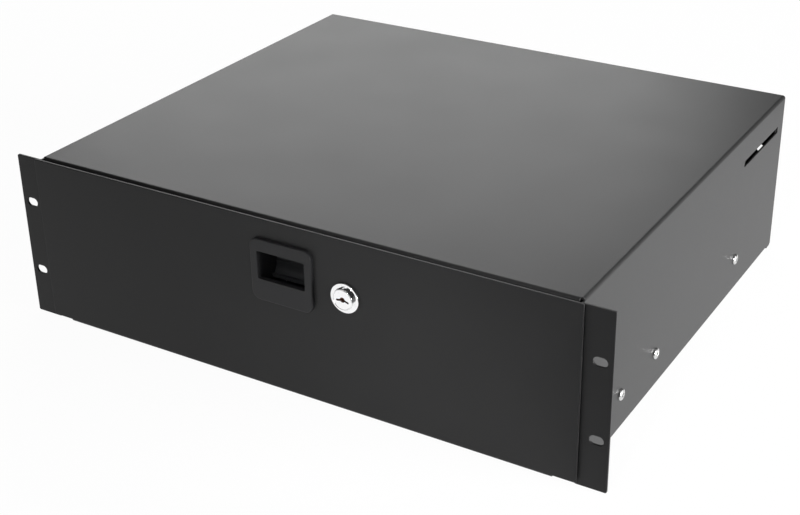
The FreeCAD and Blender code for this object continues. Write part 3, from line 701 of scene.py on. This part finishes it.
# %% Barrel
FLANGE, FLANGE_THICK = 22.0, 1.5
# The black ring is painted shade: a dark part set where the flange's rim shows only shade.
SHADE_RING, SHADE_RING_THICK = 22.7, 0.8
COLLAR, COLLAR_THICK = 15.8, 2.5
BODY, BODY_FLAT = 18.6, 16.0
PLUG, PLUG_SHAFT = 12.6, 9.0
PLUG_HEAD, HEAD_THICK = 14.4, 1.0
PLUG_DEPTH = 11.0
GAP = 0.06
SEAT_SLACK = 0.15     # behind the plug's head
COLLAR_CORNER, FLANGE_CORNER = 0.4, 0.3
BODY_SLACK = 0.3      # round the body, under the black ring of painted shade
BODY_CHAMFER = 0.5


def barrel_shape():
    """Chromed barrel as one closed profile spun round the axis."""
    bore, shaft = PLUG / 2 + GAP, PLUG_SHAFT / 2 + GAP
    under = COLLAR_THICK + FLANGE_THICK
    seat = PLUG_HEAD / 2 + GAP
    recess = HEAD_THICK + SEAT_SLACK
    profile = [(bore, PLUG_DEPTH), (bore, recess), (seat, recess),
               (seat, 0.2), (seat + 0.1, 0.0)]
    profile += rounded(COLLAR / 2, 0.0, COLLAR_CORNER)
    profile += [(COLLAR / 2, COLLAR_THICK - 0.2), (COLLAR / 2 + 0.2, COLLAR_THICK)]
    profile += rounded(FLANGE / 2, COLLAR_THICK, FLANGE_CORNER)
    hollow = BODY / 2 + BODY_SLACK
    profile += [(FLANGE / 2, under - SHADE_RING_THICK), (hollow, under - SHADE_RING_THICK),
                (hollow, under)]
    shape = bmesh.new()
    rings = [spun_ring(shape, radius, depth) for radius, depth in profile]
    for depth in (under, lock_length - BODY_CHAMFER):
        rings.append(spun_ring(shape, BODY / 2, depth, BODY_FLAT))
    rings.append(spun_ring(shape, BODY / 2 - BODY_CHAMFER, lock_length,
                           BODY_FLAT - 2 * BODY_CHAMFER))
    rings.append(spun_ring(shape, shaft, lock_length))
    rings.append(spun_ring(shape, shaft, PLUG_DEPTH))
    for first, second in zip(rings, rings[1:] + rings[:1]):
        bridge(shape, first, second)
    return shape


def shade_ring_shape():
    """Black ring round the back of the flange: painted shade for the dark rim round it."""
    shape = bmesh.new()
    front = COLLAR_THICK + FLANGE_THICK - SHADE_RING_THICK
    profile = rounded(SHADE_RING / 2, front + 0.02, 0.2)
    profile += [(SHADE_RING / 2, front + SHADE_RING_THICK), (BODY / 2 + 0.35, front + SHADE_RING_THICK),
                (BODY / 2 + 0.35, front + 0.02)]
    rings = [spun_ring(shape, radius, depth) for radius, depth in profile]
    for first, second in zip(rings, rings[1:] + rings[:1]):
        bridge(shape, first, second)
    return shape


add_piece("turned_barrel", barrel_shape(), "lock_chrome", "drawer", "lock_barrel")
# Painted shade: a black ring round the flange's back edge makes its rim read dark.
add_piece("lock_shade_ring", shade_ring_shape(), "rubber", "drawer")
print("barrel flange", FLANGE, "mm, shade ring", SHADE_RING, "mm")

# %% Keyway outline
BLADE = 1.5
BLADE_END = 0.3   # how far each blade's end bulges
ROUND = 3.9
BEND_LEFT = ((-4.7, -0.75), (-3.2, -0.6), (-1.9, -0.25))
BEND_RIGHT = ((1.9, -0.35), (3.2, -0.85), (4.7, -1.35))


def keyway_outline():
    """The keyway's edge in mm: a round middle with a blade to each side."""
    half = BLADE / 2
    points = []
    for x, z in BEND_RIGHT:
        points.append((x, z - half))
    points.append((BEND_RIGHT[-1][0] + BLADE_END, BEND_RIGHT[-1][1]))
    points += [(x, z + half) for x, z in reversed(BEND_RIGHT)]
    points += [(ROUND / 2 * math.cos(a), ROUND / 2 * math.sin(a))
               for a in (math.radians(d) for d in range(30, 151, 12))]
    points += [(x, z + half) for x, z in reversed(BEND_LEFT)]
    points.append((BEND_LEFT[0][0] - BLADE_END, BEND_LEFT[0][1]))
    points += [(x, z - half) for x, z in BEND_LEFT]
    points += [(ROUND / 2 * math.cos(a), ROUND / 2 * math.sin(a))
               for a in (math.radians(d) for d in range(216, 325, 12))]
    return points


def keyway_ring(shape, depth, shrink=0.0):
    """The outline's points at a depth, drawn in a little."""
    ring = []
    for x, z in keyway_outline():
        length = math.hypot(x, z)
        scale = (length - shrink) / length
        place = (lock_axis.x + x * scale * MM, lock_face + depth * MM,
                 lock_axis.z + z * scale * MM)
        ring.append(shape.verts.new(place))
    return ring


# %% Plug
KEYWAY_DEPTH = 9.0
KEYWAY_LEAD, KEYWAY_DRAW = 0.4, 0.12   # its chamfer's depth and width
SQUARE = 6.0
CAM_THICK = 2.0
LIP = 0.1


def plug_shape():
    """Plug with a chamfered face, its keyway sunk into it, and its square end."""
    length = (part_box("lock_plug")[1].y - lock_face) / MM
    shape = bmesh.new()
    profile = [(PLUG_HEAD / 2 - 0.25, LIP), (PLUG_HEAD / 2, 0.35), (PLUG_HEAD / 2, HEAD_THICK),
               (PLUG / 2, HEAD_THICK), (PLUG / 2, PLUG_DEPTH - LIP),
               (PLUG_SHAFT / 2, PLUG_DEPTH - LIP), (PLUG_SHAFT / 2, length - CAM_THICK)]
    rings = [spun_ring(shape, radius, depth) for radius, depth in profile]
    for first, second in zip(rings, rings[1:]):
        bridge(shape, first, second)
    shape.faces.new(rings[-1])
    mouth = keyway_ring(shape, LIP)
    throat = keyway_ring(shape, KEYWAY_LEAD, KEYWAY_DRAW)
    end = keyway_ring(shape, KEYWAY_DEPTH, KEYWAY_DRAW)
    bridge(shape, mouth, throat)
    bridge(shape, throat, end)
    shape.faces.new(end)
    rim = [shape.edges.get(pair) for pair in zip(rings[0], rings[0][1:] + rings[0][:1])]
    lip = [shape.edges.get(pair) for pair in zip(mouth, mouth[1:] + mouth[:1])]
    bmesh.ops.triangle_fill(shape, use_beauty=True, edges=rim + lip, normal=(0, -1, 0))
    add_plate(shape, (-SQUARE / 2, length - CAM_THICK - LIP, -SQUARE / 2),
              (SQUARE / 2, length, SQUARE / 2))
    return shape


def add_plate(shape, low, high):
    """A small chamfered block between two corners, in mm from the lock's face and axis."""
    corner = Vector((lock_axis.x, lock_face, lock_axis.z))
    made = bmesh.ops.create_cube(shape, size=1.0)["verts"]
    for vert in made:
        for k in range(3):
            share = vert.co[k] + 0.5
            vert.co[k] = corner[k] + (low[k] + (high[k] - low[k]) * share) * MM
    edges = {edge for vert in made for edge in vert.link_edges}
    bmesh.ops.bevel(shape, geom=list(edges), offset=0.08 * MM, segments=1, affect="EDGES")


add_piece("turned_plug", plug_shape(), "lock_chrome", "lock_core", "lock_plug")
print("keyway points:", len(keyway_outline()))

# %% Brass wafers behind the keyway
WAFERS = 4
WAFER_PITCH = 1.7
WAFER_THICK = 0.6
FIRST_WAFER = 1.2       # behind the lock's face
WAFER_EDGES = (0.45, 0.15)   # their lower edges alternate, as for a cut key


def wafer_brass():
    """Dark, greased brass."""
    brass = Finish("wafer_brass", Metallic=0.85)
    grease = brass.noise(0.9 * MM, detail=4.0)
    colour = brass.mix(grease, (0.10, 0.022, 0.012, 1), (0.34, 0.13, 0.06, 1))
    brass.feed("Base Color", colour)
    brass.feed("Roughness", 0.35 + 0.3 * grease)
    brass.bump(grease, 0.01 * MM)
    return brass.material


finishes["wafer_brass"] = wafer_brass()
shape = bmesh.new()
for count in range(WAFERS):
    depth = FIRST_WAFER + WAFER_PITCH * count
    back = depth + WAFER_THICK
    add_plate(shape, (-1.9, depth, WAFER_EDGES[count % 2]), (1.9, back, 1.75))
    add_plate(shape, (-4.0, depth, -1.7), (-2.2, back, -0.9))
wafers = add_piece("wafers", shape, "lock_chrome", "lock_core")
wafers.data.materials[0] = finishes["wafer_brass"]
print("wafers:", WAFERS)

# %% [markdown]
# ## Floor and light
#
# Black satin metal shows its shape by what it mirrors. The broad lamp behind
# and to the left lies where the top mirrors it towards the camera, so the top
# reads as a smooth grey. A second one, low at the right, lights the side. The
# front must stay nearly black, so what it mirrors is dark: the room is dim in
# reflections, the white floor turns dark in them beyond a radius, and its
# front right corner carries painted shade. Two small lamps remain: a narrow one for the front and
# one for the lock's chrome to mirror. The camera itself sees plain white all
# round. That split isn't physical, and it suits this view best: from the left
# the top mirrors a lamp and turns white.


# %% White surroundings
def seen_rays(finish):
    """1 for rays from the camera, for rays off gloss, and for rays through glass."""
    names = ("Is Camera Ray", "Is Glossy Ray", "Is Transmission Ray")
    return [finish.node("ShaderNodeLightPath", output=name) for name in names]


FILL = 0.36       # light of the air on all surfaces
ROOM = 0.03       # tone of the room in reflections
HORIZON = 0.20
CEILING = 0.6
world = bpy.data.worlds.new("studio_air")
bpy.context.scene.world = world
world.use_nodes = True


class Air(Finish):
    """The world's shader, written like a finish."""

    def __init__(self, world):
        self.tree = world.node_tree
        self.shader = self.tree.nodes["Background"]


air = Air(world)
direction = air.node("ShaderNodeTexCoord", output="Generated")
up = air.node("ShaderNodeSeparateXYZ", {}, {0: direction}, output="Z")
haze = air.ramp(up, (0.0, HORIZON), (0.04, ROOM), (0.80, ROOM), (0.95, CEILING))
camera_ray, gloss_ray, clear_ray = seen_rays(air)
fill = (FILL, FILL, FILL, 1)
mirrored_room = air.mix(gloss_ray, fill, haze)
plain_view = (camera_ray + clear_ray).at_most(1.0)
air.feed("Color", air.mix(plain_view, mirrored_room, (1, 1, 1, 1)))
print("world fill", FILL, "room tone in reflections", ROOM)


# %% Floor
FLOOR_WHITE = 0.96      # how much of its tone is plain white and not lit
WHITE_RADIUS = 0.85            # radius of the white part in reflections
WHITE_FADE = 0.1
SHADE = (0.22, 0.30)    # where the corner's painted shade begins and is full, along (1, -1)
SHADED = 0.10           # white left under the corner's painted shade
FLOOR_REACH = 12.0
FLOOR_GAP = 0.2 * MM


def floor_finish():
    """Pale floor: plain white to the camera; in reflections white near the object, dark beyond, with painted shade
    in its front right corner.
    """
    paper = Finish("studio_floor", Roughness=0.9)
    fibre = paper.noise(4 * MM, detail=3.0)
    paper.feed("Base Color", paper.mix(fibre, (0.86, 0.86, 0.86, 1), (0.90, 0.90, 0.90, 1)))
    distance = paper.node("ShaderNodeVectorMath", {"operation": "LENGTH"},
                          {0: paper.place()}, output="Value")
    near = paper.ramp(distance, (WHITE_RADIUS - WHITE_FADE, 1.0), (WHITE_RADIUS + WHITE_FADE, 0.0))
    # Painted shade: in reflections the floor's white drops in its front right corner and beyond a radius.
    shade_axis = paper.node("ShaderNodeVectorMath", {"operation": "DOT_PRODUCT"},
                      {0: paper.place(), 1: (1.0, -1.0, 0.0)}, output="Value")
    reflected_white = near * paper.ramp(shade_axis, (SHADE[0], 1.0), (SHADE[1], SHADED))
    camera_ray, gloss_ray, clear_ray = seen_rays(paper)
    tone = (camera_ray + clear_ray + gloss_ray * reflected_white).at_most(1.0)
    colour = paper.mix(tone, (0.02, 0.02, 0.02, 1), (1, 1, 1, 1))
    white = paper.node("ShaderNodeEmission", {}, {"Color": colour, "Strength": 1.0})
    share = (camera_ray + clear_ray + gloss_ray).at_most(1.0) * FLOOR_WHITE
    lit = Reading(paper, paper.shader.outputs[0])
    blend = paper.node("ShaderNodeMixShader", {}, {0: share, 1: lit, 2: white})
    end = paper.tree.nodes["Material Output"]
    paper.put(end.inputs["Surface"], blend)
    return paper.material


floor_mesh = bpy.data.meshes.new("studio_floor")
level = cad_box[0].z - FLOOR_GAP
corners = [(x * FLOOR_REACH, y * FLOOR_REACH, level)
           for x, y in ((-1, -1), (1, -1), (1, 1), (-1, 1))]
floor_mesh.from_pydata(corners, [], [(0, 1, 2, 3)])
floor_mesh.materials.append(floor_finish())
floor = bpy.data.objects.new("studio_floor", floor_mesh)
bpy.context.scene.collection.objects.link(floor)
print("floor at", round(level / MM, 2), "mm")


# %% Lamps
def softbox(name, place, aim, size, power, spread=180):
    """A rectangular lamp turned to a point, its beam spread over an angle in degrees."""
    data = bpy.data.lights.new(name, "AREA")
    data.shape = "RECTANGLE"
    data.size, data.size_y = size
    data.energy = power
    data.spread = math.radians(spread)
    lamp = bpy.data.objects.new(name, data)
    lamp.location = place
    lamp.rotation_mode = "QUATERNION"
    lamp.rotation_quaternion = (Vector(aim) - Vector(place)).to_track_quat("-Z", "Y")
    bpy.context.scene.collection.objects.link(lamp)


softbox("rear_softbox", (-1.50, 2.4, 1.20), (0, 0.2, 0.05), (2.05, 1.2), 32)
softbox("right_softbox", (2.1, 0.25, 0.22), (0.2, 0.15, 0), (1.0, 0.6), 158)
softbox("front_fill", (0.30, -1.3, 0.75), (0.15, 0, 0.035), (0.15, 0.15), 0.20, 18)
softbox("lock_card", (-0.65, -1.20, 0.72), (0.05, 0, 0.03), (0.5, 0.5), 0.8)
bpy.context.scene.view_settings.view_transform = "Standard"
print("lamps ready")
